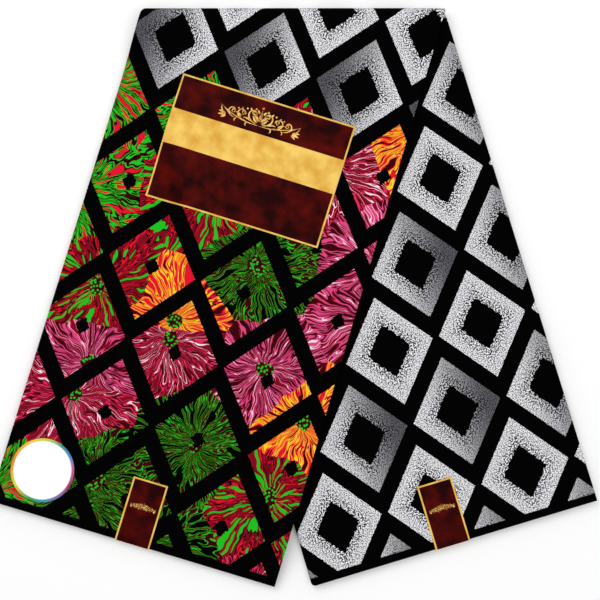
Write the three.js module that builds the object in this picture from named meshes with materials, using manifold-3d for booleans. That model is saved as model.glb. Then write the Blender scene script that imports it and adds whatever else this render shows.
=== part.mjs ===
// Six yards of printed wax cotton, folded for sale. The length is folded to a flat band of
// eighteen layers, one third of a yard wide, that still runs from selvedge to selvedge. The
// band is then turned over along a slanting line, so that it lies as the two legs of an
// upside-down V: the front leg on the left, and the back leg under it and to the right.
//
// Millimetres, +Z up. The cloth lies on the plane z = 0, its turned edge towards +Y, and the
// origin is under the middle of the box round it.
import * as THREE from "three";
import Module from "manifold-3d";
import { mergeVertices } from "three/addons/utils/BufferGeometryUtils.js";

// The cloth as it was woven and cut.
const CLOTH_LENGTH = 5486.4; // six yards, cut end to cut end
const CLOTH_WIDTH = 1155; // selvedge to selvedge
const LAYERS = 18;
const LAYER_PITCH = 0.5; // one layer of cotton and the air under it

// The folded band.
const BAND_WIDTH = CLOTH_LENGTH / LAYERS;
const STACK = LAYERS * LAYER_PITCH; // how thick one leg is
const LEG_TILT = THREE.MathUtils.degToRad(16.6); // each leg, from square to the turned edge
const WALL = 1.1; // the outer layer with the one inside it
const GAP = 0.3; // left between pieces that touch
const HEM_BEVEL = 0.4; // rounds the outer layer's long edges

// The turn at the top, where the band goes over itself.
const INNER_RADIUS = 0.6;
const NEUTRAL_RADIUS = INNER_RADIUS + STACK / 2; // the layer here keeps its length
const TURN_LENGTH = Math.PI * NEUTRAL_RADIUS;
const END_STAGGER = 8; // layers outside the turn fall this much short at the back selvedge

// The front leg comes down from the back leg to the ground past the back leg's left side.
const LIFT = STACK + 2 * INNER_RADIUS;
const DROP_START = 5; // from the back leg's side to where the cloth starts down
const DROP_END = 40; // and to where it lies on the ground

// The mesh follows the cloth: columns across the band and rows along it.
const COLUMNS = 15;
const FRONT_ROWS = 24;
const TURN_ROWS = 8;
const BACK_ROWS = 3;
const SPINE_STEPS = 6;
const EDGE_CELL = 4; // the first cell in from each free edge
const DISC_STEPS = 40;
const CORNER_STEPS = 3;
const MERGE_DISTANCE = 1e-4; // points closer than this are one

// The hidden layers show at the edges as pairs. A row for each pair, from the inside of the
// turn outwards: how far it stays back from the open side, and from each selvedge end.
const HIDDEN_PAIRS = [
  { side: 1.3, frontEnd: 1.6, backEnd: 0.9 },
  { side: 2.2, frontEnd: 0.8, backEnd: 1.7 },
  { side: 0.9, frontEnd: 1.9, backEnd: 1.2 },
  { side: 2.6, frontEnd: 1.1, backEnd: 2.1 },
  { side: 1.2, frontEnd: 0.7, backEnd: 0.8 },
  { side: 1.9, frontEnd: 1.8, backEnd: 1.5 },
  { side: 0.8, frontEnd: 1.2, backEnd: 1.0 },
];
const PAIR_GROOVE = 0.9; // how deep the gap between two pairs is

// The paper labels. Places are across the band from its middle, and up from its selvedge end.
// The large one is stuck on slightly turned, in degrees anticlockwise.
const PAPER = 0.6;
const FACE_LABEL = { width: 187, height: 132, across: 3.1, up: 410.3, turn: -0.9 };
const ROUND_STICKER = { diameter: 65, across: -109, up: 45 };
const END_LABEL = { width: 36.5, length: 66, hang: 8.2 };
const FRONT_END_ACROSS = 0.7;
const BACK_END_ACROSS = -2.7;

const COLOURS = {
  printedCotton: 0x1a1416,
  layeredEdges: 0x241a1c,
  maroonPaper: 0x5a0f12,
  whitePaper: 0xf2f2f0,
};

const SIN = Math.sin(LEG_TILT);
const COS = Math.cos(LEG_TILT);
const LEG_LENGTH = (CLOTH_WIDTH - TURN_LENGTH / COS) / 2; // on the band's middle line
const LEFT_CORNER = -BAND_WIDTH / 2 / COS; // of the turned edge
const BACK_LEG_CORNER = LEFT_CORNER + TURN_LENGTH * Math.tan(LEG_TILT);

// How high the band lies at a place on the ground. The fold line is y = 0.
function liftAt(x, y) {
  const pastBackLeg = -((x - BACK_LEG_CORNER) * COS + y * SIN);
  return LIFT * (1 - THREE.MathUtils.smoothstep(pastBackLeg, DROP_START, DROP_END));
}

// A point of the folded band: t across it from its middle, s along it from the front
// selvedge, and n through it from the side that ends up inside the turn.
function place(t, s, n) {
  const x = t * COS + (s - LEG_LENGTH) * SIN;
  const pastFold = (s - LEG_LENGTH) * COS - t * SIN;
  if (pastFold <= 0) return new THREE.Vector3(x, pastFold, liftAt(x, pastFold) + n);
  if (pastFold < TURN_LENGTH) {
    const turned = pastFold / NEUTRAL_RADIUS;
    const radius = INNER_RADIUS + n;
    const height = STACK + INNER_RADIUS + radius * Math.cos(turned);
    return new THREE.Vector3(x, radius * Math.sin(turned), height);
  }
  return new THREE.Vector3(x, TURN_LENGTH - pastFold, STACK - n);
}

// The s at which column t is this far past the fold line.
const alongAt = (pastFold, t) => LEG_LENGTH + (pastFold + t * SIN) / COS;
const mix = THREE.MathUtils.lerp;

// Rows are functions of the column, because they turn from square at the selvedges to
// parallel with the fold line at the turn.
const frontRows = [];
for (let j = 0; j <= FRONT_ROWS; j++) {
  frontRows.push((t) => mix(EDGE_CELL, alongAt(0, t), j / FRONT_ROWS));
}
const turnRows = [];
for (let j = 1; j <= TURN_ROWS; j++) {
  turnRows.push((t) => alongAt((TURN_LENGTH * j) / TURN_ROWS, t));
}
const backRows = [];
for (let j = 0; j <= BACK_ROWS; j++) {
  const last = CLOTH_WIDTH - END_STAGGER - EDGE_CELL;
  backRows.push((t) => mix(alongAt(TURN_LENGTH + GAP, t), last, j / BACK_ROWS));
}
const selvedgeStart = () => 0;
const selvedgeEnd = (t, n) => CLOTH_WIDTH - (END_STAGGER * n) / STACK;

// Columns run from where the spine's curve ends to the open side.
const FIRST_COLUMN = -BAND_WIDTH / 2 + STACK / 2;
const LAST_COLUMN = BAND_WIDTH / 2;
const columns = [];
for (let i = 0; i < COLUMNS; i++) {
  columns.push(mix(FIRST_COLUMN, LAST_COLUMN - EDGE_CELL, i / (COLUMNS - 1)));
}
columns.push(LAST_COLUMN);

// Collects flat faces into one geometry.
function faceCollector() {
  const positions = [];
  const triangle = (a, b, c) => positions.push(...a, ...b, ...c);
  const quad = (a, b, c, d) => {
    triangle(a, b, c);
    triangle(a, c, d);
  };
  const geometry = () =>
    new THREE.BufferGeometry().setAttribute(
      "position",
      new THREE.Float32BufferAttribute(positions, 3),
    );
  return { triangle, quad, geometry };
}

// The outer layer's section is a C: over the top, round the spine and back underneath. It is
// a list of pairs, each an outer and an inner point, with one nose point at each open edge.
function wrapSection() {
  const pairs = [];
  const across = columns.slice();
  across[COLUMNS] = LAST_COLUMN - HEM_BEVEL;
  for (const t of across.toReversed()) {
    pairs.push({ outer: [t, STACK], inner: [t, STACK - WALL] });
  }
  for (let k = 1; k < SPINE_STEPS; k++) {
    const angle = Math.PI / 2 + (Math.PI * k) / SPINE_STEPS;
    const onArc = (r) => [FIRST_COLUMN + r * Math.cos(angle), STACK / 2 + r * Math.sin(angle)];
    pairs.push({ outer: onArc(STACK / 2), inner: onArc(STACK / 2 - WALL) });
  }
  for (const t of across) {
    pairs.push({ outer: [t, 0], inner: [t, WALL] });
  }
  return {
    pairs,
    upperNose: [LAST_COLUMN, STACK - WALL / 2],
    lowerNose: [LAST_COLUMN, WALL / 2],
  };
}

// Sweeps that section along some rows of the band.
function wrapGeometry(rows) {
  const faces = faceCollector();
  const { pairs, upperNose, lowerNose } = wrapSection();
  const loop = [
    ...pairs.map((p) => p.inner),
    lowerNose,
    ...pairs.map((p) => p.outer).toReversed(),
    upperNose,
  ];
  const at = (row, [t, n]) => place(t, row(t, n), n);
  for (let j = 0; j + 1 < rows.length; j++) {
    loop.forEach((a, k) => {
      const b = loop[(k + 1) % loop.length];
      const corners = [at(rows[j], a), at(rows[j], b), at(rows[j + 1], b), at(rows[j + 1], a)];
      // Every cell is split from its near left to its far right corner, so that layers nest.
      if (b[0] < a[0]) corners.push(corners.shift());
      faces.quad(...corners);
    });
  }
  const closeEnd = (row, turnRound) => {
    const triangle = (a, b, c) =>
      turnRound
        ? faces.triangle(at(row, a), at(row, c), at(row, b))
        : faces.triangle(at(row, a), at(row, b), at(row, c));
    for (let k = 0; k + 1 < pairs.length; k++) {
      triangle(pairs[k + 1].inner, pairs[k].inner, pairs[k].outer);
      triangle(pairs[k + 1].inner, pairs[k].outer, pairs[k + 1].outer);
    }
    const last = pairs.at(-1);
    triangle(upperNose, pairs[0].outer, pairs[0].inner);
    triangle(lowerNose, last.inner, last.outer);
  };
  closeEnd(rows[0], false);
  closeEnd(rows.at(-1), true);
  return faces.geometry();
}

// A solid that lies along the band: a pile of rings, each at its own height n and with its
// own left, right, start and end. Rows between the two ends are shared by all the rings. As
// every row is, start and end are functions of the column.
function piledGeometry(rings, middleRows) {
  const faces = faceCollector();
  const lastRow = middleRows.length + 1;
  const at = (ring, i, j) => {
    const t = i === 0 ? ring.left : i === COLUMNS ? ring.right : columns[i];
    const row = j === 0 ? ring.start : j === lastRow ? ring.end : middleRows[j - 1];
    const s = row(t);
    return place(t, s, ring.n);
  };
  const edge = [];
  for (let i = 0; i < COLUMNS; i++) edge.push([i, 0]);
  for (let j = 0; j < lastRow; j++) edge.push([COLUMNS, j]);
  for (let i = COLUMNS; i > 0; i--) edge.push([i, lastRow]);
  for (let j = lastRow; j > 0; j--) edge.push([0, j]);
  for (let k = 0; k + 1 < rings.length; k++) {
    const [low, high] = [rings[k], rings[k + 1]];
    edge.forEach((a, m) => {
      const b = edge[(m + 1) % edge.length];
      faces.quad(at(low, ...a), at(low, ...b), at(high, ...b), at(high, ...a));
    });
  }
  const [bottom, top] = [rings[0], rings.at(-1)];
  for (let i = 0; i < COLUMNS; i++) {
    for (let j = 0; j < lastRow; j++) {
      const cell = (ring) => [
        at(ring, i, j),
        at(ring, i + 1, j),
        at(ring, i + 1, j + 1),
        at(ring, i, j + 1),
      ];
      const [a, b, c, d] = cell(bottom);
      faces.triangle(a, c, b);
      faces.triangle(a, d, c);
      faces.quad(...cell(top));
    }
  }
  return faces.geometry();
}

// The fourteen hidden layers share one solid, with a ridge at its edges for each pair.
function hiddenLayersGeometry() {
  const low = WALL + GAP;
  const high = STACK - WALL - GAP;
  const noseRadius = (high - low) / 2;
  const last = 2 * HIDDEN_PAIRS.length;
  const rings = [];
  for (let k = 0; k <= last; k++) {
    const n = mix(low, high, k / last);
    const groove = k % 2 ? 0 : PAIR_GROOVE;
    const pair = HIDDEN_PAIRS[Math.min(Math.floor(k / 2), HIDDEN_PAIRS.length - 1)];
    const rise = n - STACK / 2;
    rings.push({
      n,
      left: FIRST_COLUMN - Math.sqrt(Math.max(0, noseRadius ** 2 - rise ** 2)),
      right: LAST_COLUMN - pair.side - groove,
      start: () => pair.frontEnd + groove,
      end: (t) => selvedgeEnd(t, n) - pair.backEnd - groove,
    });
  }
  return piledGeometry(rings, [...frontRows, ...turnRows, ...backRows]);
}

// Closed geometry as a solid that can be cut, and a solid back as geometry.
const wasm = await Module();
wasm.setup();

function solidOf(geometry) {
  const bare = geometry.clone();
  bare.deleteAttribute("normal");
  bare.deleteAttribute("uv");
  const merged = mergeVertices(bare, MERGE_DISTANCE);
  return new wasm.Manifold(
    new wasm.Mesh({
      numProp: 3,
      vertProperties: merged.attributes.position.array,
      triVerts: new Uint32Array(merged.index.array),
    }),
  );
}

function geometryOf(solid) {
  const mesh = solid.getMesh();
  return new THREE.BufferGeometry()
    .setAttribute("position", new THREE.BufferAttribute(mesh.vertProperties, 3))
    .setIndex(new THREE.BufferAttribute(mesh.triVerts, 1));
}

// Paper stuck on the front leg: the cloth's own surface, moved out, cut to an outline.
function stuckPaperGeometry(outline) {
  const ring = (n) => ({
    n,
    left: FIRST_COLUMN,
    right: LAST_COLUMN,
    start: selvedgeStart,
    end: (t) => alongAt(0, t),
  });
  const low = STACK + GAP;
  const skin = solidOf(piledGeometry([ring(low), ring(low + PAPER)], frontRows.slice(0, -1)));
  const aboveAll = 2 * (LIFT + STACK);
  const cutter = new THREE.ExtrudeGeometry(new THREE.Shape(outline), {
    depth: aboveAll,
    bevelEnabled: false,
  });
  return geometryOf(skin.intersect(solidOf(cutter)));
}

// A place on the front leg, as a point on the ground.
function groundPoint(across, up) {
  const { x, y } = place(across, up, 0);
  return new THREE.Vector2(x, y);
}

function rectangleOutline({ width, height, across, up, turn }) {
  const middle = new THREE.Vector2(0, 0);
  const corners = [[-1, -1], [1, -1], [1, 1], [-1, 1]];
  return corners.map(([i, j]) => {
    const corner = new THREE.Vector2((i * width) / 2, (j * height) / 2);
    corner.rotateAround(middle, THREE.MathUtils.degToRad(turn));
    return groundPoint(across + corner.x, up + corner.y);
  });
}

function discOutline({ diameter, across, up }) {
  const r = diameter / 2;
  return Array.from({ length: DISC_STEPS }, (unused, k) => {
    const angle = (2 * Math.PI * k) / DISC_STEPS;
    return groundPoint(across + r * Math.cos(angle), up + r * Math.sin(angle));
  });
}

// Paper folded over a selvedge end: it lies on the leg and hangs down in front of the layers.
function endLabelGeometry() {
  const { width, length, hang } = END_LABEL;
  const inner = -GAP;
  const outer = inner - PAPER;
  const under = STACK + GAP;
  const over = under + PAPER;
  const profile = new THREE.Shape();
  profile.moveTo(length, under);
  profile.lineTo(length, over);
  profile.lineTo(inner, over);
  profile.absarc(inner, under, PAPER, Math.PI / 2, Math.PI, false);
  profile.lineTo(outer, over - hang);
  profile.lineTo(inner, over - hang);
  profile.lineTo(inner, under);
  return new THREE.ExtrudeGeometry(profile, {
    depth: width,
    bevelEnabled: false,
    curveSegments: CORNER_STEPS,
  });
}

// The profile's x runs up the leg, its y is up, and its width runs across to the right.
function placeEndLabel(mesh, leftCorner, upLeg) {
  const up = new THREE.Vector3(0, 0, 1);
  const across = new THREE.Vector3().crossVectors(upLeg, up);
  mesh.quaternion.setFromRotationMatrix(new THREE.Matrix4().makeBasis(upLeg, up, across));
  mesh.position.copy(leftCorner);
}

const printedCotton = new THREE.MeshStandardMaterial({
  color: COLOURS.printedCotton,
  roughness: 0.75,
  metalness: 0,
});
const layeredEdges = new THREE.MeshStandardMaterial({
  color: COLOURS.layeredEdges,
  roughness: 0.85,
  metalness: 0,
});
const maroonPaper = new THREE.MeshStandardMaterial({
  color: COLOURS.maroonPaper,
  roughness: 0.4,
  metalness: 0,
});
const whitePaper = new THREE.MeshStandardMaterial({
  color: COLOURS.whitePaper,
  roughness: 0.4,
  metalness: 0,
});

const foldedCloth = new THREE.Group();

function addPiece(name, geometry, material) {
  const mesh = new THREE.Mesh(geometry, material);
  mesh.name = name;
  foldedCloth.add(mesh);
  return mesh;
}

// The cloth: the outer layer in the two stretches that show, and the layers hidden in it.
addPiece(
  "front_leg_cloth",
  wrapGeometry([selvedgeStart, ...frontRows, ...turnRows]),
  printedCotton,
);
addPiece("back_leg_cloth", wrapGeometry([...backRows, selvedgeEnd]), printedCotton);
addPiece("hidden_layers", hiddenLayersGeometry(), layeredEdges);

// The labels.
addPiece("face_label", stuckPaperGeometry(rectangleOutline(FACE_LABEL)), maroonPaper);
addPiece("round_sticker", stuckPaperGeometry(discOutline(ROUND_STICKER)), whitePaper);

const frontEndLabel = addPiece("front_end_label", endLabelGeometry(), maroonPaper);
placeEndLabel(
  frontEndLabel,
  place(FRONT_END_ACROSS - END_LABEL.width / 2, 0, 0),
  new THREE.Vector3(SIN, COS, 0),
);

const backEndLabel = addPiece("back_end_label", endLabelGeometry(), maroonPaper);
placeEndLabel(
  backEndLabel,
  place(BACK_END_ACROSS - END_LABEL.width / 2, CLOTH_WIDTH, STACK),
  new THREE.Vector3(-SIN, COS, 0),
);

// The origin goes under the middle of the box round the whole thing.
foldedCloth.updateMatrixWorld(true);
const box = new THREE.Box3().setFromObject(foldedCloth, true);
const middle = box.getCenter(new THREE.Vector3());
foldedCloth.position.set(-middle.x, -middle.y, -box.min.z);

export default foldedCloth;
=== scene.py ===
import math

import bpy
import numpy as np
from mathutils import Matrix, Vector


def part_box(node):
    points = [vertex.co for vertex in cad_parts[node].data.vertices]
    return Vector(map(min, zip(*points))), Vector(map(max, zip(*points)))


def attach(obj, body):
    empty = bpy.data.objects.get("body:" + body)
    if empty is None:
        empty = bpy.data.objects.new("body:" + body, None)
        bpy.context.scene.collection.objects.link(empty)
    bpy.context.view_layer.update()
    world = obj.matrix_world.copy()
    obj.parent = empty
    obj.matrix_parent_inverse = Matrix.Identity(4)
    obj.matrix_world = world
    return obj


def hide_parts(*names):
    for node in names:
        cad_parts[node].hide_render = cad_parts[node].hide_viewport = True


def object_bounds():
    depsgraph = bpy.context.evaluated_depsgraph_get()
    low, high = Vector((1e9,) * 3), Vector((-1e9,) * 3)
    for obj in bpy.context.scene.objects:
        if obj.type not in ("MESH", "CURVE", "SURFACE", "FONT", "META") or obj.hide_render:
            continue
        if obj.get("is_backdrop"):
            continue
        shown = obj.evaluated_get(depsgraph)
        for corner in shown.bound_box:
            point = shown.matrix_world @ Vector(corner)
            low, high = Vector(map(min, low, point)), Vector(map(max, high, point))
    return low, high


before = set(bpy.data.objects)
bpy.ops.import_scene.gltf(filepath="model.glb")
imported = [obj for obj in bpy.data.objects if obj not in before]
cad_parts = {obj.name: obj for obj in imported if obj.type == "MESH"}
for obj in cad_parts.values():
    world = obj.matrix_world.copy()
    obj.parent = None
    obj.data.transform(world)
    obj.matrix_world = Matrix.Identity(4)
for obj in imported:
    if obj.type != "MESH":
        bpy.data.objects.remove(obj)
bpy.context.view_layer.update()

# Front leg cloth
# The outer layer of the folded cotton where it lies uppermost on the front leg and goes round
# the turn. It is one cloth with every other layer: plain woven, printed on both sides, folded
# lengthwise to a flat band of eighteen layers, then turned over along a slanting line.
MM = 0.001
CLOTH_LENGTH = 5486.4 * MM
CLOTH_WIDTH = 1155 * MM
LAYERS = 18
LAYER_PITCH = 0.5 * MM
COTTON = 0.32 * MM
BAND_WIDTH = CLOTH_LENGTH / LAYERS
STACK = LAYERS * LAYER_PITCH
LEG_TILT = math.radians(16.6)
SIN, COS = math.sin(LEG_TILT), math.cos(LEG_TILT)

# the turn at the top, and the front leg's way down to the ground past the back leg's side
INNER_RADIUS = 0.6 * MM
NEUTRAL_RADIUS = INNER_RADIUS + STACK / 2
TURN_LENGTH = math.pi * NEUTRAL_RADIUS
END_STAGGER = 8 * MM
LIFT = STACK + 2 * INNER_RADIUS
DROP_START = 5 * MM
DROP_END = 40 * MM
LEG_LENGTH = (CLOTH_WIDTH - TURN_LENGTH / COS) / 2
BACK_CORNER = -BAND_WIDTH / 2 / COS + TURN_LENGTH * math.tan(LEG_TILT)

# where the fold line lies in the frame, from the front leg's left corner and the turned edge
front_low, front_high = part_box("front_leg_cloth")
FOLD_X = front_low[0] + BAND_WIDTH / 2 * COS + LEG_LENGTH * SIN
FOLD_Y = front_high[1] - INNER_RADIUS - STACK

# a stack of loose layers is never quite even: its height varies by this share, in soft swells
# of so many radians a metre each way
UNEVEN = 0.03
SWELLS = [
    {"along_x": 23.0, "along_y": 11.0, "phase": 0.4},
    {"along_x": -14.0, "along_y": 27.0, "phase": 2.1},
    {"along_x": 37.0, "along_y": -19.0, "phase": 4.0},
]


def folded(t, s, n):
    """Places on the folded band: t across it, s along it from the front selvedge, n up it."""
    x = t * COS + (s - LEG_LENGTH) * SIN
    past_fold = (s - LEG_LENGTH) * COS - t * SIN
    off_back_leg = -((x - BACK_CORNER) * COS + past_fold * SIN)
    down = np.clip((off_back_leg - DROP_START) / (DROP_END - DROP_START), 0, 1)
    lift = LIFT * (1 - down**2 * (3 - 2 * down))
    turned = np.clip(past_fold / NEUTRAL_RADIUS, 0, math.pi)
    radius = INNER_RADIUS + n
    on_front = past_fold <= 0
    in_turn = past_fold < TURN_LENGTH
    y = np.where(in_turn, radius * np.sin(turned), TURN_LENGTH - past_fold)
    y = np.where(on_front, past_fold, y)
    z = np.where(in_turn, STACK + INNER_RADIUS + radius * np.cos(turned), STACK - n)
    z = np.where(on_front, lift + n, z)
    swell = sum(
        np.sin(w["along_x"] * x + w["along_y"] * y + w["phase"]) for w in SWELLS
    )
    z = z * (1 + UNEVEN * swell / len(SWELLS))
    return np.stack([x + FOLD_X, y + FOLD_Y, z], axis=-1)


# where a layer's fold lies at the open side: how far back it stays from the longest one
OPEN_FOLDS = [
    {"layers": (1, 2), "back": 0.3 * MM},
    {"layers": (3, 4), "back": 1.4 * MM},
    {"layers": (5, 6), "back": 2.3 * MM},
    {"layers": (7, 8), "back": 1.0 * MM},
    {"layers": (9,), "back": 3.1 * MM},
    {"layers": (10, 11), "back": 1.9 * MM},
    {"layers": (12, 13), "back": 0.8 * MM},
    {"layers": (14, 15), "back": 2.0 * MM},
    {"layers": (16, 17), "back": 0.9 * MM},
    {"layers": (18,), "back": 0.5 * MM},
]
FIRST_COLUMN = -BAND_WIDTH / 2 + STACK / 2
LAST_COLUMN = BAND_WIDTH / 2
COLUMNS = 30
SPINE_STEPS = 10
OPEN_STEPS = 6
EDGE_CELL = 6 * MM
CLOTH_CREASE = math.radians(50)


def height_of(layer):
    """How high a layer lies in the stack, counted from the top of the front leg down."""
    return STACK - LAYER_PITCH * (layer - 0.5)


def open_edge(layer):
    """Where a layer ends or folds over at the open side."""
    fold = next(f for f in OPEN_FOLDS if layer in f["layers"])
    return LAST_COLUMN - fold["back"]


def way_through(layers, towards_open):
    """The cloth's way through some layers, as points (t, n), round the spine or the open side."""
    columns = np.linspace(FIRST_COLUMN, LAST_COLUMN - EDGE_CELL, COLUMNS)
    way = []
    for k, layer in enumerate(layers):
        n = height_of(layer)
        loop = LAYER_PITCH / 2
        flat = [(t, n) for t in columns] + [(open_edge(layer) - loop, n)]
        way += flat if towards_open else flat[::-1]
        if k + 1 < len(layers):
            middle = (n + height_of(layers[k + 1])) / 2
            rise = n - middle
            steps = OPEN_STEPS if towards_open else SPINE_STEPS
            out = abs(rise) if towards_open else -abs(rise)
            start = way[-1][0]
            for angle in np.linspace(0, math.pi, steps + 1)[1:-1]:
                way.append((start + out * math.sin(angle), middle + rise * math.cos(angle)))
        towards_open = not towards_open
    return np.array(way)


FRONT_ROWS = 48
TURN_ROWS = 10
BACK_ROWS = 14


def along_at(past_fold, t):
    """How far along the band a column is this far past the fold line."""
    return LEG_LENGTH + (past_fold + t * SIN) / COS


def rows_of(way, start=None, end=None):
    """How far along the band each row of a sheet crosses each column, from start to end."""
    t = way[:, 0]
    rows = []
    if start is not None:
        rows += [start + (along_at(0, t) - start) * j / FRONT_ROWS for j in range(FRONT_ROWS)]
        rows += [along_at(TURN_LENGTH * j / TURN_ROWS, t) for j in range(TURN_ROWS + 1)]
    if end is not None:
        first = along_at(TURN_LENGTH, t)
        skipped = 1 if rows else 0
        rows += [
            first + (end - first) * j / BACK_ROWS for j in range(skipped, BACK_ROWS + 1)
        ]
    return np.array(rows)


def new_grid(name, columns, rows):
    """A flat grid of so many points across and along, selected alone."""
    bpy.ops.object.select_all(action="DESELECT")
    bpy.ops.mesh.primitive_grid_add(x_subdivisions=columns - 1, y_subdivisions=rows - 1, size=1)
    piece = bpy.context.object
    piece.name = name
    piece.data.name = name
    return piece


def set_places(mesh, name, places):
    """Gives each corner of a mesh its point's place in a pattern, as the only UV map."""
    while mesh.uv_layers:
        mesh.uv_layers.remove(mesh.uv_layers[0])
    corners = np.empty(len(mesh.loops), dtype=int)
    mesh.loops.foreach_get("vertex_index", corners)
    layer = mesh.uv_layers.new(name=name)
    layer.uv.foreach_set("vector", places.reshape(-1, 2)[corners].ravel())


def thicken(piece, thickness):
    """Gives a sheet its thickness, half of it to each side."""
    wall = piece.modifiers.new("wall", "SOLIDIFY")
    wall.thickness = thickness
    wall.offset = 0
    bpy.ops.object.modifier_apply(modifier="wall")


def fold_sheet(name, way, rows, print_at):
    """A flat grid of cotton, folded along a way through the stack and given its thickness."""
    piece = new_grid(name, len(way), len(rows))
    mesh = piece.data
    t = np.broadcast_to(way[:, 0], rows.shape)
    n = np.broadcast_to(way[:, 1], rows.shape)
    mesh.vertices.foreach_set("co", folded(t, rows, n).ravel())
    steps = np.hypot(*np.diff(way, axis=0).T)
    across = np.concatenate([[0], np.cumsum(steps)])
    places = np.stack(print_at(np.broadcast_to(across, rows.shape), rows), axis=-1)
    set_places(mesh, "print", places)

    # every cell is split the same way over the ground, so that the layers nest
    goes_right = np.diff(way[:, 0]) > 0
    bpy.ops.object.mode_set(mode="EDIT")
    for rightwards, method in ((True, "FIXED"), (False, "FIXED_ALTERNATE")):
        bpy.ops.mesh.select_all(action="DESELECT")
        bpy.ops.object.mode_set(mode="OBJECT")
        for face in mesh.polygons:
            if len(face.vertices) == 4:
                column = min(v % len(way) for v in face.vertices)
                face.select = bool(goes_right[column]) == rightwards
        bpy.ops.object.mode_set(mode="EDIT")
        bpy.ops.mesh.quads_convert_to_tris(quad_method=method)
    bpy.ops.object.mode_set(mode="OBJECT")
    thicken(piece, COTTON)
    bpy.ops.object.shade_smooth_by_angle(angle=CLOTH_CREASE)
    return piece


# the print's places are metres from the middle of one lozenge. The two legs show the print in
# two places of its repeat, the back leg's turned half round. On both it leans a little off the
# grain, to the right towards the turn.
REPEAT_ACROSS = 99.8 * MM
REPEAT_ALONG = 156.8 * MM
PRINT_LEAN = 0.017
FRONT_LOZENGE = {"from_left": 38.4 * MM, "from_selvedge": 198.2 * MM}
BACK_LOZENGE = {"from_left": 45.2 * MM, "from_selvedge": 206.9 * MM, "rows_on": 13}

# the outer layer's way, with the strip of the second layer that is folded in at the open side
FOLDED_IN = 24 * MM
outer_way = way_through([18, 1, 2], towards_open=False)
second = np.isclose(outer_way[:, 1], height_of(2))
outer_way = outer_way[~second | (outer_way[:, 0] >= LAST_COLUMN - FOLDED_IN)]
outer_lengths = np.concatenate([[0], np.cumsum(np.hypot(*np.diff(outer_way, axis=0).T))])
top_at = np.argmax(np.isclose(outer_way[:, 1], height_of(1)))
TOP_START = outer_lengths[top_at]


def print_on_front(across, along):
    """The print's places on the front leg, seen with its folded side on the left."""
    from_left = across - TOP_START + STACK / 2
    y = along - FRONT_LOZENGE["from_selvedge"]
    return from_left - FRONT_LOZENGE["from_left"] - PRINT_LEAN * y, y


# how much of the outer layer's longer way round the turn its print follows, so that the
# lozenges meet the turned edge about as wide as they are on a sharply pressed one
TURN_SHARE = 0.5


def print_round_turn(across, along):
    """The same, carried on round the turn."""
    t, n = outer_way.T
    turned = np.clip(((along - LEG_LENGTH) * COS - t * SIN) / NEUTRAL_RADIUS, 0, math.pi)
    longer = INNER_RADIUS + n - NEUTRAL_RADIUS
    return print_on_front(across, along + TURN_SHARE * turned * longer / COS)


front_rows = rows_of(outer_way, start=0 * outer_way[:, 0])
front_leg = fold_sheet("front_leg_printed_cotton", outer_way, front_rows, print_round_turn)
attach(front_leg, "root")
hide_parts("front_leg_cloth")


def linear(hex_colour):
    """An sRGB hex value as linear red, green, blue and alpha."""
    parts = [int(hex_colour[i : i + 2], 16) / 255 for i in (1, 3, 5)]
    return [c / 12.92 if c < 0.04045 else ((c + 0.055) / 1.055) ** 2.4 for c in parts] + [1]


def add_node(tree, kind, settings=None, inputs=()):
    """Adds a node with its settings, and its inputs by place or name, each linked or set."""
    node = tree.nodes.new("ShaderNode" + kind)
    for key, value in (settings or {}).items():
        setattr(node, key, value)
    for key, value in inputs.items() if isinstance(inputs, dict) else enumerate(inputs):
        if isinstance(value, bpy.types.Node):
            value = value.outputs[0]
        if isinstance(value, bpy.types.NodeSocket):
            tree.links.new(value, node.inputs[key])
        else:
            node.inputs[key].default_value = value
    return node


# Wax print cotton: bleached plain weave, roller printed with resist and dye on both sides. The
# dye sits in the thread, so the black is deep and flat, the colours are clear, and only a faint
# sheen is left of the finish.
INK = {
    "black": "#010101",
    "white": "#F0F0F4",
    "grey": "#5E5E64",
    "leaf": "#1FBA1F",
    "red": "#DC142E",
    "maroon": "#38050B",
    "wine": "#7A0C1E",
    "rose": "#DA2C58",
    "pink": "#D4467C",
    "blush": "#F9DCE8",
    "orange": "#F2701A",
    "yellow": "#FFC828",
}
LOZENGE_ACROSS = 46.5 * MM
LOZENGE_ALONG = 56.9 * MM
GREY_HOLE = 0.505
FLOWER_HOLE = 0.172
HOLE_ROUND = 0.09
LAST_FLOWER_ROW = 3
SELVEDGE = 8.3 * MM

# each kind of flower: where it comes in the bed, and the inks its brush strokes change between
FLOWERS = [
    {
        "upto": 0.30,
        "inks": "red 0.37 maroon 0.41 leaf 0.45 maroon 0.475 black 0.50 maroon 0.525 leaf"
        " 0.56 black 0.59 leaf 0.64 red",
    },
    {"upto": 0.42, "inks": "black 0.40 leaf 0.42 maroon 0.48 leaf 0.50 maroon 0.58 leaf 0.60 black"},
    {
        "upto": 0.58,
        "inks": "leaf 0.36 maroon 0.41 wine 0.46 maroon 0.485 red 0.51 wine 0.55 black 0.58 red"
        " 0.61 maroon 0.64 leaf",
    },
    {
        "upto": 0.62,
        "inks": "maroon 0.37 red 0.42 orange 0.45 yellow 0.49 red 0.53 maroon 0.545 yellow"
        " 0.585 orange 0.61 red",
    },
    {
        "upto": 0.74,
        "inks": "wine 0.38 rose 0.41 maroon 0.46 wine 0.49 rose 0.52 maroon 0.555 rose"
        " 0.58 blush 0.605 wine",
    },
    {
        "upto": 1.00,
        "inks": "maroon 0.38 wine 0.42 pink 0.47 wine 0.49 maroon 0.535 pink 0.585 blush"
        " 0.60 pink 0.63 wine",
    },
]
FLOWER = 90 * MM
BED_MOVED = (5.1, 3.3, 0)
BED_SLOPE = (0.9, -0.45, 0)
BED_CHANCE = 0.75
BED_START = -3.11
PETALS_AROUND = 9.5
PETAL_LENGTH = 38 * MM
SWAY = 18 * MM
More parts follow.
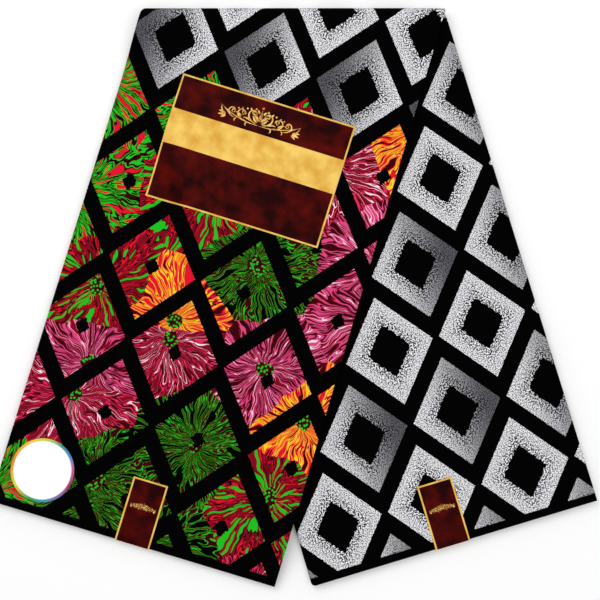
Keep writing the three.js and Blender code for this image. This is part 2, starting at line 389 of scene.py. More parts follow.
SWAY_EACH = 33 * MM
NO_TWO_ALIKE = (31.0, 17.0, 23.0)
SEED_HEAD = 8.5 * MM
SEED = 3.6 * MM


def ink_ramp(tree, factor, inks):
    """Flat inks that change at the places between their names, as printing rollers lay them."""
    ramp = add_node(tree, "ValToRGB", inputs=[factor])
    ramp.color_ramp.interpolation = "CONSTANT"
    stops = ramp.color_ramp.elements
    names = inks.split()[::2]
    places = [0] + [float(place) for place in inks.split()[1::2]]
    for k, (ink, at) in enumerate(zip(names, places)):
        stop = stops[k] if k < len(stops) else stops.new(at)
        stop.position = at
        stop.color = linear(INK[ink])
    return ramp


def flower_bed(tree, place):
    """Brush-drawn flowers that lie edge to edge, each round a middle of its own."""
    place = add_node(tree, "VectorMath", {"operation": "ADD"}, [place, BED_MOVED])
    sway = add_node(
        tree, "TexNoise", {"noise_dimensions": "2D"}, {"Vector": place, "Scale": 1 / SWAY_EACH}
    ).outputs["Color"]
    sway = add_node(tree, "VectorMath", {"operation": "SUBTRACT"}, [sway, (0.5, 0.5, 0.5)])
    spot = add_node(
        tree, "VectorMath", {"operation": "MULTIPLY_ADD"}, [sway, (SWAY, SWAY, 0), place]
    )
    flower = add_node(
        tree,
        "TexVoronoi",
        {"voronoi_dimensions": "2D"},
        {"Vector": spot, "Scale": 1 / FLOWER, "Randomness": 0.9},
    )
    middle = flower.outputs["Position"]
    arm = add_node(tree, "VectorMath", {"operation": "SUBTRACT"}, [spot, middle])
    reach = add_node(tree, "VectorMath", {"operation": "LENGTH"}, [arm]).outputs["Value"]
    way = add_node(tree, "VectorMath", {"operation": "NORMALIZE"}, [arm])
    outwards = add_node(tree, "Math", {"operation": "MULTIPLY"}, [reach, 1 / PETAL_LENGTH])
    outwards = add_node(tree, "CombineXYZ", inputs=[0.0, 0.0, outwards])
    turned = add_node(
        tree,
        "VectorMath",
        {"operation": "MULTIPLY_ADD"},
        [way, (PETALS_AROUND, PETALS_AROUND, 0), outwards],
    )
    own = add_node(
        tree,
        "VectorMath",
        {"operation": "MULTIPLY_ADD"},
        [flower.outputs["Color"], NO_TWO_ALIKE, turned],
    )
    brush = add_node(
        tree, "TexNoise", inputs={"Vector": own, "Scale": 1.0, "Detail": 1.0, "Roughness": 0.5}
    )

    # which kind a flower is: partly chance, partly greens at the upper left to pinks lower right
    lot = add_node(tree, "SeparateXYZ", inputs=[flower.outputs["Color"]])
    slope = add_node(
        tree, "VectorMath", {"operation": "DOT_PRODUCT"}, [middle, BED_SLOPE]
    ).outputs["Value"]
    kind = add_node(tree, "Math", {"operation": "MULTIPLY_ADD"}, [lot, BED_CHANCE, slope])
    kind = add_node(tree, "Math", {"operation": "ADD"}, [kind, BED_START])
    colour = ink_ramp(tree, brush, FLOWERS[0]["inks"])
    for before, flowers in zip(FLOWERS, FLOWERS[1:]):
        past = add_node(tree, "Math", {"operation": "GREATER_THAN"}, [kind, before["upto"]])
        inks = ink_ramp(tree, brush, flowers["inks"])
        mixed = add_node(
            tree, "Mix", {"data_type": "RGBA"}, {0: past, 6: colour, 7: inks}
        )
        colour = mixed.outputs[2]

    # the seed head in the middle of each
    seeds = add_node(
        tree, "TexVoronoi", {"voronoi_dimensions": "2D"}, {"Vector": place, "Scale": 1 / SEED}
    )
    seeds = ink_ramp(tree, seeds.outputs["Distance"], "leaf 0.30 maroon")
    in_head = add_node(tree, "Math", {"operation": "LESS_THAN"}, [reach, SEED_HEAD])
    return add_node(
        tree, "Mix", {"data_type": "RGBA"}, {0: in_head, 6: colour, 7: seeds}
    ).outputs[2]


# the speck noise is black below one level and white above the other, from hole to edge
FINE_SPECK = 1.0 * MM
COARSE_SPECK = 1.5 * MM
SPECKS_AT_HOLE = {"black": 0.490, "white": 0.550}
SPECKS_AT_EDGE = {"black": 0.422, "white": 0.510}
FRAME_EDGE = 0.95
SHADE_FROM, SHADE_TO = -0.8, 0.8


def speckled_frame(tree, place, out, local, row):
    """White specks on black, coarse at the hole and fine at the edge; each second row shaded."""
    smooth = {"interpolation_type": "SMOOTHSTEP"}
    outwards = add_node(tree, "MapRange", smooth, [out, GREY_HOLE, FRAME_EDGE, 0.0, 1.0])
    coarse = add_node(
        tree, "TexNoise", {"noise_dimensions": "2D"}, {"Vector": place, "Scale": 1 / COARSE_SPECK}
    )
    fine = add_node(
        tree, "TexNoise", {"noise_dimensions": "2D"}, {"Vector": place, "Scale": 1 / FINE_SPECK}
    )
    specks = add_node(tree, "Mix", {"data_type": "FLOAT"}, {0: outwards, 2: coarse, 3: fine})
    levels = [
        add_node(
            tree,
            "MapRange",
            inputs=[outwards, 0.0, 1.0, SPECKS_AT_HOLE[tone], SPECKS_AT_EDGE[tone]],
        )
        for tone in ("black", "white")
    ]
    lit = add_node(tree, "MapRange", inputs=[specks, *levels, 0.0, 1.0])
    second = add_node(tree, "Math", {"operation": "FLOORED_MODULO"}, [row, 2.0])
    second = add_node(tree, "Math", {"operation": "SUBTRACT"}, [1.0, second])
    slant = add_node(
        tree, "VectorMath", {"operation": "DOT_PRODUCT"}, [local, (-1, 0, 0)]
    ).outputs["Value"]
    shade = add_node(tree, "MapRange", smooth, [slant, SHADE_FROM, SHADE_TO, 0.0, 1.0])
    shade = add_node(tree, "Math", {"operation": "MULTIPLY"}, [shade, second])
    tone = add_node(
        tree,
        "Mix",
        {"data_type": "RGBA"},
        {0: shade, 6: linear(INK["white"]), 7: linear(INK["grey"])},
    )
    return add_node(
        tree, "Mix", {"data_type": "RGBA"}, {0: lit, 6: linear(INK["black"]), 7: tone.outputs[2]}
    ).outputs[2]


# resist and dye break up at an edge: how far, as a share of a lozenge, and how often
TORN_EACH = 3 * MM
HOLE_TORN = 0.12
EDGE_TORN = 0.03


def print_colour(tree):
    """The print's colour, worked out from its places on the flat cloth."""
    place = add_node(tree, "UVMap", {"uv_map": "print"})
    jag = add_node(
        tree, "TexNoise", {"noise_dimensions": "2D"}, {"Vector": place, "Scale": 1 / TORN_EACH}
    )
    jag = add_node(tree, "Math", {"operation": "SUBTRACT"}, [jag, 0.5])

    # the lozenge that this place is in, and how far it is from its middle
    repeat = (1 / REPEAT_ACROSS, 1 / REPEAT_ALONG, 0)
    scaled = add_node(tree, "VectorMath", {"operation": "MULTIPLY"}, [place, repeat])
    one = add_node(tree, "VectorMath", {"operation": "DOT_PRODUCT"}, [scaled, (1, 1, 0)])
    one = add_node(tree, "Math", {"operation": "ROUND"}, [one.outputs["Value"]])
    other = add_node(tree, "VectorMath", {"operation": "DOT_PRODUCT"}, [scaled, (1, -1, 0)])
    other = add_node(tree, "Math", {"operation": "ROUND"}, [other.outputs["Value"]])
    row = add_node(tree, "Math", {"operation": "SUBTRACT"}, [one, other])
    column = add_node(tree, "Math", {"operation": "ADD"}, [one, other])
    middle = add_node(tree, "CombineXYZ", inputs=[column, row, 0.0])
    half_repeat = (REPEAT_ACROSS / 2, REPEAT_ALONG / 2, 0)
    middle = add_node(tree, "VectorMath", {"operation": "MULTIPLY"}, [middle, half_repeat])
    local = add_node(tree, "VectorMath", {"operation": "SUBTRACT"}, [place, middle])
    lozenge = (1 / LOZENGE_ACROSS, 1 / LOZENGE_ALONG, 0)
    local = add_node(tree, "VectorMath", {"operation": "MULTIPLY"}, [local, lozenge])
    sides = add_node(tree, "VectorMath", {"operation": "ABSOLUTE"}, [local])
    out = add_node(
        tree, "VectorMath", {"operation": "DOT_PRODUCT"}, [sides, (1, 1, 0)]
    ).outputs["Value"]

    # flowers near the front selvedge, specks over the rest, each with a black hole
    grey = add_node(tree, "Math", {"operation": "GREATER_THAN"}, [row, LAST_FLOWER_ROW + 0.5])
    fill = add_node(
        tree,
        "Mix",
        {"data_type": "RGBA"},
        {0: grey, 6: flower_bed(tree, place), 7: speckled_frame(tree, place, out, local, row)},
    )
    hole = add_node(
        tree, "Math", {"operation": "MULTIPLY_ADD"}, [grey, GREY_HOLE - FLOWER_HOLE, FLOWER_HOLE]
    )

    # a hole is a lozenge whose corners are worn round
    reach = add_node(tree, "VectorMath", {"operation": "LENGTH"}, [local]).outputs["Value"]
    reach = add_node(tree, "Math", {"operation": "MULTIPLY"}, [reach, math.sqrt(2)])
    rounded = add_node(
        tree, "Mix", {"data_type": "FLOAT"}, {0: HOLE_ROUND, 2: out, 3: reach}
    )
    torn = add_node(tree, "Math", {"operation": "MULTIPLY_ADD"}, [jag, HOLE_TORN, rounded])
    past_hole = add_node(tree, "Math", {"operation": "GREATER_THAN"}, [torn, hole])
    crisp = add_node(tree, "Math", {"operation": "MULTIPLY_ADD"}, [jag, EDGE_TORN, out])
    within = add_node(tree, "Math", {"operation": "LESS_THAN"}, [crisp, 1.0])
    printed = add_node(tree, "Math", {"operation": "MULTIPLY"}, [past_hole, within])

    # the plain selvedges
    along = add_node(tree, "SeparateXYZ", inputs=[place]).outputs["Y"]
    inside = add_node(tree, "Math", {"operation": "GREATER_THAN"}, [along, FRONT_BORDER])
    printed = add_node(tree, "Math", {"operation": "MULTIPLY"}, [printed, inside])
    border = add_node(
        tree, "Math", {"operation": "COMPARE"}, [along, BACK_BORDER - SELVEDGE / 2, SELVEDGE / 2]
    )
    inside = add_node(tree, "Math", {"operation": "SUBTRACT"}, [1.0, border])
    printed = add_node(tree, "Math", {"operation": "MULTIPLY"}, [printed, inside])
    return add_node(
        tree,
        "Mix",
        {"data_type": "RGBA"},
        {0: printed, 6: linear(INK["black"]), 7: fill.outputs[2]},
    ).outputs[2]


# the weave, drawn at twice its real pitch of 0.28 mm so that it shows at all. At scale 1 a
# wave texture's bands lie 2 pi / 20 apart.
THREAD = 0.55 * MM
THREAD_RISE = 0.05 * MM
BAND_PERIOD = 2 * math.pi / 20


def weave_bump(tree):
    """Warp and weft as two sets of fine ridges."""
    place = add_node(tree, "UVMap", {"uv_map": "print"})
    settings = {"wave_type": "BANDS", "bands_direction": "X"}
    inputs = {"Vector": place, "Scale": BAND_PERIOD / THREAD, "Distortion": 0.6}
    warp = add_node(tree, "TexWave", settings, inputs)
    weft = add_node(tree, "TexWave", {**settings, "bands_direction": "Y"}, inputs)
    height = add_node(tree, "Math", {"operation": "MAXIMUM"}, [warp.outputs[1], weft.outputs[1]])
    return add_node(
        tree, "Bump", inputs={"Strength": 0.5, "Distance": THREAD_RISE, "Height": height}
    )


FRONT_BORDER = SELVEDGE - FRONT_LOZENGE["from_selvedge"]
BACK_BORDER = (
    BACK_LOZENGE["rows_on"] * REPEAT_ALONG / 2 - BACK_LOZENGE["from_selvedge"] + SELVEDGE
)


def new_material(name):
    """A new material, with its node tree and its shader."""
    material = bpy.data.materials.new(name)
    material.use_nodes = True
    return material, material.node_tree, material.node_tree.nodes["Principled BSDF"]


cotton, tree, shader = new_material("Wax print cotton")
tree.links.new(print_colour(tree), shader.inputs["Base Color"])
tree.links.new(weave_bump(tree).outputs[0], shader.inputs["Normal"])
shader.inputs["Roughness"].default_value = 0.85
shader.inputs["Specular IOR Level"].default_value = 0.02
front_leg.data.materials.append(cotton)

# Back leg cloth
# The same outer layer past the turn, where the layer that lies on the ground under the front
# leg comes up on top. Its right edge is the cloth's raw cut end, and its selvedge end is a
# little uneven, because the layers inside the turn have a shorter way round.


def print_on_back(across, along):
    """The print's places on the back leg, seen with its folded side on the left."""
    from_left = open_edge(18) - LAYER_PITCH / 2 + BAND_WIDTH / 2 - across
    rows_on = BACK_LOZENGE["rows_on"]
    up = CLOTH_WIDTH - along - BACK_LOZENGE["from_selvedge"]
    x = BACK_LOZENGE["from_left"] - from_left + PRINT_LEAN * up
    return x + rows_on % 2 * REPEAT_ACROSS / 2, up + rows_on * REPEAT_ALONG / 2


back_end = CLOTH_WIDTH - END_STAGGER * outer_way[:, 1] / STACK
back_rows = rows_of(outer_way, end=back_end)
back_leg = fold_sheet("back_leg_printed_cotton", outer_way, back_rows, print_on_back)
back_leg.data.materials.append(cotton)
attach(back_leg, "root")
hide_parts("back_leg_cloth")

# Inner layers
# The other sixteen layers of the same cloth, in one run from where the outer layer is folded
# in to the other cut end. Each goes round the spine inside the last and folds over at the open
# side, a little short of or past its neighbours.
INNER_ORDER = [2, 17, 16, 3, 4, 15, 14, 5, 6, 13, 12, 7, 8, 11, 10, 9]
inner_way = way_through(INNER_ORDER, towards_open=False)
inner_way = inner_way[np.argmax(inner_way[:, 0] < LAST_COLUMN - FOLDED_IN) :]

# how far the selvedge stays back from the leg's end, in mm, in a slow wave and a quicker one
# of so many radians a column
FRONT_SELVEDGE = {"mean": 0.9, "slow": 0.6, "turn": 0.037, "start": 0, "quick": 0.3, "spin": 0.121}
BACK_SELVEDGE = {"mean": 1.1, "slow": 0.7, "turn": 0.043, "start": 2, "quick": 0.3, "spin": 0.133}


def stays_back(selvedge):
    """How far back the inner layers' selvedge stays at each column of their way."""
    run = np.arange(len(inner_way))
    slow = selvedge["slow"] * np.sin(run * selvedge["turn"] + selvedge["start"])
    quick = selvedge["quick"] * np.sin(run * selvedge["spin"])
    return (selvedge["mean"] + slow + quick) * MM


inner_end = CLOTH_WIDTH - END_STAGGER * inner_way[:, 1] / STACK - stays_back(BACK_SELVEDGE)
inner_rows = rows_of(inner_way, start=stays_back(FRONT_SELVEDGE), end=inner_end)
inner = fold_sheet("inner_layers_cotton", inner_way, inner_rows, print_on_front)
inner.data.materials.append(cotton)
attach(inner, "root")
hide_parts("hidden_layers")

# Paper labels
# A large label stuck on the front leg, and two small ones folded over the selvedge ends, as
# mills put on each piece for sale. Coated paper, printed a mottled maroon with a gold edge.
PAPER = 0.3 * MM
PAPER_CLEAR = 0.3 * MM
FACE_LABEL = {"width": 187 * MM, "height": 132 * MM, "across": 3.1 * MM, "up": 410.3 * MM}
FACE_LABEL_TURN = math.radians(-0.9)
END_LABEL = {"width": 36.5 * MM, "length": 66 * MM, "hang": 8.2 * MM, "bend": 1.2 * MM}
FRONT_END_ACROSS = 0.7 * MM
BACK_END_ACROSS = -2.7 * MM
PAPER_CELL = 5 * MM
HANG_CELL = 2 * MM
BEND_STEPS = 7
PAPER_CREASE = math.radians(40)
paper_height = STACK + PAPER_CLEAR + PAPER / 2


def laid_on(cloth, places, n):
    """Places moved to lie over the cloth's own mesh, or left where there is no cloth below."""
    for place, height in zip(places.reshape(-1, 3), np.broadcast_to(n, places.shape[:-1]).ravel()):
        found, spot, _, _ = cloth.ray_cast((place[0], place[1], 1), (0, 0, -1))
        if found:
            place[2] = spot.z + height - STACK
    return places


def on_front_leg(t, s, n):
    """Places on the front leg: t across, s up from its selvedge end, n up through it."""
    return laid_on(front_leg, folded(t, s, n), n)


def on_back_leg(t, s, n):
    """The same on the back leg, from its own selvedge end and its own underside."""
    return laid_on(back_leg, folded(t, CLOTH_WIDTH - s, STACK - n), n)


def turned_about(middle, turn, i, j):
    """Places (t, s) on a leg, from places (i, j) on a paper that is turned about its middle."""
    t = middle[0] + i * math.cos(turn) - j * math.sin(turn)
    s = middle[1] + i * math.sin(turn) + j * math.cos(turn)
    return t, s


def face_up(leg):
    """Turns the new sheet's faces over on the back leg, whose places run the other way."""
    if leg is on_back_leg:
        bpy.ops.object.mode_set(mode="EDIT")
        bpy.ops.mesh.select_all(action="SELECT")
        bpy.ops.mesh.flip_normals()
        bpy.ops.object.mode_set(mode="OBJECT")


def paper_sheet(name, leg, middle, across, profile, turn=0):
    """A sheet of paper, from places across it and a profile of (s, n) along it."""
    piece = new_grid(name, len(across), len(profile))
    i = np.broadcast_to(across, (len(profile), len(across)))
    j = np.broadcast_to(profile[:, :1], i.shape)
    n = np.broadcast_to(profile[:, 1:], i.shape)
    t, s = turned_about(middle, turn, i, j)
    piece.data.vertices.foreach_set("co", leg(t, s, n).ravel())
    steps = np.hypot(*np.diff(profile, axis=0).T)
    along = np.concatenate([[0], np.cumsum(steps)])
    along = np.broadcast_to((along - along[-1] / 2)[:, None], i.shape)
    set_places(piece.data, "label", np.stack([i, along], axis=-1))
    face_up(leg)
    thicken(piece, PAPER)
    bpy.ops.object.shade_smooth_by_angle(angle=PAPER_CREASE)
    return piece


def evenly(low, high, cell):
    """Places from low to high, about a cell apart."""
    return np.linspace(low, high, round((high - low) / cell) + 1)


across = evenly(-FACE_LABEL["width"] / 2, FACE_LABEL["width"] / 2, PAPER_CELL)
up = evenly(-FACE_LABEL["height"] / 2, FACE_LABEL["height"] / 2, PAPER_CELL)
face_label = paper_sheet(
    "face_label_paper",
    on_front_leg,
    (FACE_LABEL["across"], FACE_LABEL["up"]),
    across,
    np.stack([up, np.full(len(up), paper_height)], axis=1),
    FACE_LABEL_TURN,
)


def end_profile():
    """Paper that hangs down before the layers, bends over the end and lies on the leg."""
    bend = END_LABEL["bend"]
    points = []
    for n in evenly(paper_height - END_LABEL["hang"], paper_height - bend, HANG_CELL)[:-1]:
        points.append((bend / 2 - bend, n))
    for angle in np.linspace(math.pi, math.pi / 2, BEND_STEPS):
        points.append(
            (bend / 2 + bend * math.cos(angle), paper_height - bend + bend * math.sin(angle))
        )
    for s in evenly(bend / 2, END_LABEL["length"], PAPER_CELL)[1:]:
        points.append((s, paper_height))
    return np.array(points)


end_labels = []
for name, leg, middle in (
    ("front_end_label_paper", on_front_leg, FRONT_END_ACROSS),
    ("back_end_label_paper", on_back_leg, BACK_END_ACROSS),
):
    across = evenly(-END_LABEL["width"] / 2, END_LABEL["width"] / 2, PAPER_CELL)
    end_labels.append(paper_sheet(name, leg, (middle, 0), across, end_profile()))
END_LENGTH = np.hypot(*np.diff(end_profile(), axis=0).T).sum()


GOLD_EDGE = 1.7 * MM
MOTTLE = 22 * MM
FOIL_MOTTLE = 17 * MM
PAPER_FIBRE = 1.1 * MM
FIBRE_RISE = 0.03 * MM


def label_material(name, half_width, half_height, band):
    """Coated label paper: an even satin gloss over print, maroon mottled, with a gold edge."""
    material, tree, shader = new_material(name)
    place = add_node(tree, "UVMap", {"uv_map": "label"})
    mottle = add_node(
        tree,
        "TexNoise",
        {"noise_dimensions": "2D"},
        {"Vector": place, "Scale": 1 / MOTTLE, "Detail": 4.0},
    )
    maroon = add_node(tree, "ValToRGB", inputs=[mottle])
    low, high = maroon.color_ramp.elements
    low.position, low.color = 0.35, linear("#220001")
    high.position, high.color = 0.75, linear("#560803")
    foil = add_node(
        tree,
        "TexNoise",
        {"noise_dimensions": "2D"},
        {"Vector": place, "Scale": 1 / FOIL_MOTTLE, "Detail": 3.0},
    )
    gold = add_node(tree, "ValToRGB", inputs=[foil])
    low, high = gold.color_ramp.elements
    low.position, low.color = 0.3, linear("#D9A440")
    high.position, high.color = 0.7, linear("#F0C866")
    sides = add_node(tree, "VectorMath", {"operation": "ABSOLUTE"}, [place])
    parts = add_node(tree, "SeparateXYZ", inputs=[sides])
    near_side = add_node(
        tree, "Math", {"operation": "GREATER_THAN"}, [parts.outputs["X"], half_width - GOLD_EDGE]
    )
    near_end = add_node(
        tree, "Math", {"operation": "GREATER_THAN"}, [parts.outputs["Y"], half_height - GOLD_EDGE]
    )
    golden = add_node(tree, "Math", {"operation": "MAXIMUM"}, [near_side, near_end])
    if band:
        along = add_node(tree, "SeparateXYZ", inputs=[place]).outputs["Y"]
        in_band = add_node(
            tree,
            "Math",
            {"operation": "COMPARE"},
            [along, (band[0] + band[1]) / 2, (band[1] - band[0]) / 2],
        )
        golden = add_node(tree, "Math", {"operation": "MAXIMUM"}, [golden, in_band])
    colour = add_node(tree, "Mix", {"data_type": "RGBA"}, {0: golden, 6: maroon, 7: gold})
    tree.links.new(colour.outputs[2], shader.inputs["Base Color"])
    fibre = add_node(
        tree, "TexNoise", {"noise_dimensions": "2D"}, {"Vector": place, "Scale": 1 / PAPER_FIBRE}
    )
    grain = add_node(
        tree, "Bump", inputs={"Strength": 0.15, "Distance": FIBRE_RISE, "Height": fibre}
    )
    tree.links.new(grain.outputs[0], shader.inputs["Normal"])
    shader.inputs["Roughness"].default_value = 0.5
    shader.inputs["Specular IOR Level"].default_value = 0.03
    return material


# the gold band's top and bottom, as shares of the label's height from its top
BAND_TOP = 0.28
BAND_BOTTOM = 0.56
half_height = FACE_LABEL["height"] / 2
gold_band = (half_height * (1 - 2 * BAND_BOTTOM), half_height * (1 - 2 * BAND_TOP))
face_paper = label_material(
    "Coated label paper, banded", FACE_LABEL["width"] / 2, half_height, gold_band
)
end_paper = label_material(
    "Coated label paper, plain", END_LABEL["width"] / 2, END_LENGTH / 2, None
)
face_label.data.materials.append(face_paper)
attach(face_label, "root")
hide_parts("face_label")
for end_label, node in zip(end_labels, ("front_end_label", "back_end_label")):
    end_label.data.materials.append(end_paper)
    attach(end_label, "root")
    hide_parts(node)

# Gold ornament
# Scrollwork printed in gold on each maroon label, mirrored about the label's middle. Each row is
# a tapered stroke: where it starts, its heading and turn in degrees, its length and width in mm,
# and how much the turn tightens towards its end. It is plain leaves, vines and curls.
STROKES = [
    {"x": 0, "y": -5, "heading": 90, "length": 13, "turn": 0, "tighter": 1, "wide": 3.4},
    {"x": 1.6, "y": -4.5, "heading": 62, "length": 10, "turn": -30, "tighter": 1, "wide": 2.6},
    {"x": 2.2, "y": -6, "heading": 20, "length": 9, "turn": 60, "tighter": 1, "wide": 2.0},
    {"x": 3, "y": -7.5, "heading": 12, "length": 34, "turn": 400, "tighter": 1.8, "wide": 1.5},
    {"x": 9, "y": -6, "heading": 35, "length": 9, "turn": -50, "tighter": 1, "wide": 2.0},
    {"x": 14, "y": -7.2, "heading": 0, "length": 30, "turn": 390, "tighter": 1.8, "wide": 1.4},
    {"x": 12, "y": -8.2, "heading": -20, "length": 6, "turn": -130, "tighter": 1, "wide": 1.3},
    {"x": 20, "y": -5, "heading": 60, "length": 8, "turn": -60, "tighter": 1, "wide": 1.8},
    {"x": 26, "y": -7.5, "heading": 10, "length": 26, "turn": 380, "tighter": 1.8, "wide": 1.2},
    {"x": 24, "y": -7.4, "heading": -10, "length": 5, "turn": -130, "tighter": 1, "wide": 1.1},
    {"x": 33, "y": -5, "heading": 70, "length": 7, "turn": -70, "tighter": 1, "wide": 1.6},
    {"x": 38, "y": -5.6, "heading": 30, "length": 9, "turn": 60, "tighter": 1, "wide": 1.3},
    {"x": 0, "y": -8.6, "heading": -3, "length": 46, "turn": 35, "tighter": 1, "wide": 0.9},
    {"x": 36, "y": -6.5, "heading": 28, "length": 8, "turn": -30, "tighter": 1, "wide": 2.4},
    {"x": 36, "y": -7.2, "heading": 0, "length": 8, "turn": -20, "tighter": 1, "wide": 2.6},
    {"x": 35.5, "y": -8, "heading": -25, "length": 6, "turn": -20, "tighter": 1, "wide": 2.2},
    {"x": 4.5, "y": 0.5, "heading": 95, "length": 13, "turn": -330, "tighter": 1.5, "wide": 1.3},
    {"x": 16, "y": -1.5, "heading": 100, "length": 11, "turn": -330, "tighter": 1.5, "wide": 1.2},
    {"x": 27.5, "y": -2.5, "heading": 100, "length": 9, "turn": -330, "tighter": 1.5, "wide": 1.1},
    {"x": 2.5, "y": 3.5, "heading": 75, "length": 4.5, "turn": -40, "tighter": 1, "wide": 2.0},
    {"x": 11, "y": 4.8, "heading": 60, "length": 3, "turn": 0, "tighter": 1, "wide": 1.8},
    {"x": 20, "y": 3.2, "heading": 60, "length": 2.6, "turn": 0, "tighter": 1, "wide": 1.6},
    {"x": 29, "y": 1.2, "heading": 60, "length": 2.4, "turn": 0, "tighter": 1, "wide": 1.5},
    {"x": 0, "y": 9, "heading": 90, "length": 2.8, "turn": 0, "tighter": 1, "wide": 2.6},
    {"x": 6.5, "y": 6.6, "heading": 80, "length": 2.2, "turn": 0, "tighter": 1, "wide": 2.0},
    {"x": 15.5, "y": 4.6, "heading": 80, "length": 2, "turn": 0, "tighter": 1, "wide": 1.8},
    {"x": 24.5, "y": 2.6, "heading": 80, "length": 1.8, "turn": 0, "tighter": 1, "wide": 1.6},
]
STROKE_STEPS = 24
WIDEST_EARLY = 0.7
BLUNT = 0.8
PRINT_CLEAR = 0.06 * MM
PRINT_THICK = 0.03 * MM


def stroke_places(row, side, scale):
    """The two sides of one stroke along its length, on the label's right (1) or left (-1)."""
    along = np.linspace(0, 1, STROKE_STEPS)
    heading = np.radians(row["heading"] + row["turn"] * along ** row["tighter"])
    between = (heading[1:] + heading[:-1]) / 2
    step = row["length"] / (STROKE_STEPS - 1)
    x = row["x"] + np.concatenate([[0], np.cumsum(np.cos(between))]) * step
    y = row["y"] + np.concatenate([[0], np.cumsum(np.sin(between))]) * step
    half = row["wide"] / 2 * np.sin(math.pi * along**WIDEST_EARLY) ** BLUNT
    # both sides of a stroke swap on the mirrored half, so that it still faces up
    ends = [-side * half, side * half]
    xs = np.stack([x + end * np.sin(heading) for end in ends], axis=1)
    ys = np.stack([y - end * np.cos(heading) for end in ends], axis=1)
    return side * xs * scale, ys * scale


def ornament(name, leg, middle, turn, scale):
    """The whole ornament on a label, round a middle on its leg."""
    strokes = []
    for row in STROKES:
        for side in (1, -1):
            stroke = new_grid("stroke", 2, STROKE_STEPS)
            i, j = stroke_places(row, side, scale)
            t, s = turned_about(middle, turn, i, j)
            n = np.full(t.shape, paper_height + PAPER / 2 + PRINT_CLEAR)
            stroke.data.vertices.foreach_set("co", leg(t, s, n).ravel())
            strokes.append(stroke)
    for stroke in strokes:
        stroke.select_set(True)
    bpy.ops.object.join()
    piece = bpy.context.object
    piece.name = name
    piece.data.name = name
    while piece.data.uv_layers:
        piece.data.uv_layers.remove(piece.data.uv_layers[0])
    face_up(leg)
    thicken(piece, PRINT_THICK)
    return piece


# gold printing ink: a warm yellow that dulls to brown where it is laid on thin
INK_MOTTLE = 4 * MM
gold_ink, tree, shader = new_material("Gold printing ink")
place = add_node(tree, "TexCoord").outputs["Object"]
thin = add_node(tree, "TexNoise", inputs={"Vector": place, "Scale": 1 / INK_MOTTLE, "Detail": 2.0})
gold = add_node(tree, "ValToRGB", inputs=[thin])
low, high = gold.color_ramp.elements
low.position, low.color = 0.35, linear("#C4843A")
high.position, high.color = 0.6, linear("#F4CA6A")
tree.links.new(gold.outputs[0], shader.inputs["Base Color"])
shader.inputs["Roughness"].default_value = 0.45
shader.inputs["Specular IOR Level"].default_value = 0.2

FACE_ORNAMENT_UP = 45.5 * MM
FACE_ORNAMENT_LEFT = 3 * MM
END_ORNAMENT_UP = 39 * MM
MM_TO_END_LABEL = 0.31 * MM
face_at = (
    FACE_LABEL["across"] - FACE_ORNAMENT_LEFT - FACE_ORNAMENT_UP * math.sin(FACE_LABEL_TURN),
    FACE_LABEL["up"] + FACE_ORNAMENT_UP * math.cos(FACE_LABEL_TURN),
)
ornaments = [
    ornament("face_label_ornament", on_front_leg, face_at, FACE_LABEL_TURN, MM),
    ornament(
        "front_end_ornament",
        on_front_leg,
        (FRONT_END_ACROSS, END_ORNAMENT_UP),
        0,
        MM_TO_END_LABEL,
    ),
    ornament(
        "back_end_ornament", on_back_leg, (BACK_END_ACROSS, END_ORNAMENT_UP), 0, MM_TO_END_LABEL
    ),
]
for piece in ornaments:
    piece.data.materials.append(gold_ink)
    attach(piece, "root")

# Round sticker
# A round white sticker near the front leg's outer corner, with a thin rim printed in the
# colours of the rainbow. Coated paper, stuck down flat.
STICKER = {"diameter": 65 * MM, "across": -109 * MM, "up": 45 * MM}
RIM = 2.9 * MM
RIM_BLUR = 0.6 * MM
RIM_STEPS = 96

bpy.ops.object.select_all(action="DESELECT")
bpy.ops.mesh.primitive_circle_add(
    vertices=RIM_STEPS, radius=STICKER["diameter"] / 2, fill_type="TRIFAN"
)
sticker = bpy.context.object
sticker.name = "round_sticker_paper"
mesh = sticker.data
mesh.name = sticker.name
flat = np.empty(len(mesh.vertices) * 3)
mesh.vertices.foreach_get("co", flat)
flat = flat.reshape(-1, 3)
set_places(mesh, "label", flat[:, :2])
mesh.vertices.foreach_set(
    "co",
    on_front_leg(
        STICKER["across"] + flat[:, 0], STICKER["up"] + flat[:, 1], paper_height + 0 * flat[:, 2]
    ).ravel(),
)
thicken(sticker, PAPER)
bpy.ops.object.shade_smooth_by_angle(angle=PAPER_CREASE)

# the rim's colours round the sticker, anticlockwise from its left
RIM_COLOURS = [
    {"at": 0.00, "ink": "#E27A20"},
    {"at": 0.12, "ink": "#CAD834"},
    {"at": 0.23, "ink": "#229444"},
    {"at": 0.30, "ink": "#1C93AA"},
    {"at": 0.38, "ink": "#7466AA"},
    {"at": 0.46, "ink": "#A01C60"},
    {"at": 0.55, "ink": "#B85494"},
    {"at": 0.62, "ink": "#3486BC"},
    {"at": 0.69, "ink": "#229282"},
    {"at": 0.76, "ink": "#B4CE3C"},
    {"at": 0.85, "ink": "#ECC62C"},
    {"at": 1.00, "ink": "#E27A20"},
]
white_paper, tree, shader = new_material("Coated label paper, white")
place = add_node(tree, "UVMap", {"uv_map": "label"})
parts = add_node(tree, "SeparateXYZ", inputs=[place])
angle = add_node(
    tree, "Math", {"operation": "ARCTAN2"}, [parts.outputs["Y"], parts.outputs["X"]]
)
turn = add_node(tree, "MapRange", inputs=[angle, -math.pi, math.pi, 0.0, 1.0])
rainbow = add_node(tree, "ValToRGB", inputs=[turn])
stops = rainbow.color_ramp.elements
for k, row in enumerate(RIM_COLOURS):
    stop = stops[k] if k < len(stops) else stops.new(row["at"])
    stop.position = row["at"]
    stop.color = linear(row["ink"])
reach = add_node(tree, "VectorMath", {"operation": "LENGTH"}, [place]).outputs["Value"]
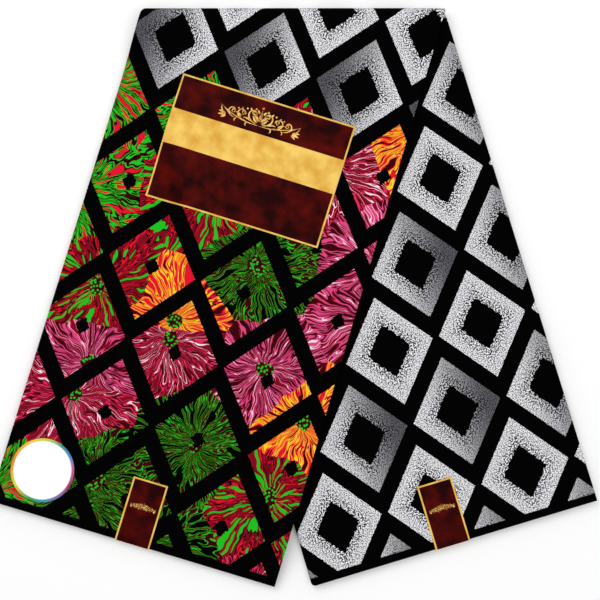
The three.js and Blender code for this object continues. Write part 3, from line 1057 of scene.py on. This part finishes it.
rim_at = STICKER["diameter"] / 2 - RIM
on_rim = add_node(
    tree, "MapRange", inputs=[reach, rim_at - RIM_BLUR, rim_at + RIM_BLUR, 0.0, 1.0]
)
colour = add_node(
    tree, "Mix", {"data_type": "RGBA"}, {0: on_rim, 6: linear("#FBFBFA"), 7: rainbow}
)
tree.links.new(colour.outputs[2], shader.inputs["Base Color"])
shader.inputs["Roughness"].default_value = 0.4
shader.inputs["Specular IOR Level"].default_value = 0.35
sticker.data.materials.append(white_paper)
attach(sticker, "root")
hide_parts("round_sticker")

# Floor, light and camera
# A plain pale surface under soft studio light, seen from 1.2 m almost straight above.
bpy.ops.object.select_all(action="DESELECT")
bpy.ops.mesh.primitive_plane_add(size=12)
floor = bpy.context.object
floor.name = "floor"
pale, tree, shader = new_material("Matt white board")
shader.inputs["Base Color"].default_value = linear("#FAFAFA")
shader.inputs["Roughness"].default_value = 0.9
floor.data.materials.append(pale)
floor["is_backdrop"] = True

world = bpy.data.worlds.new("studio")
world.use_nodes = True
world.node_tree.nodes["Background"].inputs["Color"].default_value = (1, 1, 1, 1)
world.node_tree.nodes["Background"].inputs["Strength"].default_value = 0.55
bpy.context.scene.world = world
LIGHTS = [
    {"at": (-0.7, 0.9, 1.9), "size": 1.6, "watts": 22},
    {"at": (0.9, -0.5, 2.1), "size": 1.8, "watts": 14},
]
for light in LIGHTS:
    bpy.ops.object.light_add(type="AREA", location=light["at"])
    lamp = bpy.context.object
    lamp.data.size = light["size"]
    lamp.data.energy = light["watts"]
    aim = -lamp.location
    lamp.rotation_euler = aim.to_track_quat("-Z", "Y").to_euler()

CAMERA = {"distance": 1.2, "lean": math.radians(3.71), "over_x": 6.78 * MM, "over_y": -6.47 * MM}
FRAME_PIXELS = 600
FOCAL_PIXELS = 1153.8
bpy.ops.object.camera_add(
    location=(
        CAMERA["over_x"],
        CAMERA["over_y"] - CAMERA["distance"] * math.sin(CAMERA["lean"]),
        CAMERA["distance"] * math.cos(CAMERA["lean"]),
    ),
    rotation=(CAMERA["lean"], 0, 0),
)
camera = bpy.context.object
camera.data.sensor_width = 36
camera.data.lens = camera.data.sensor_width * FOCAL_PIXELS / FRAME_PIXELS
bpy.context.scene.camera = camera
bpy.context.scene.view_settings.view_transform = "Standard"

low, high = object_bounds()
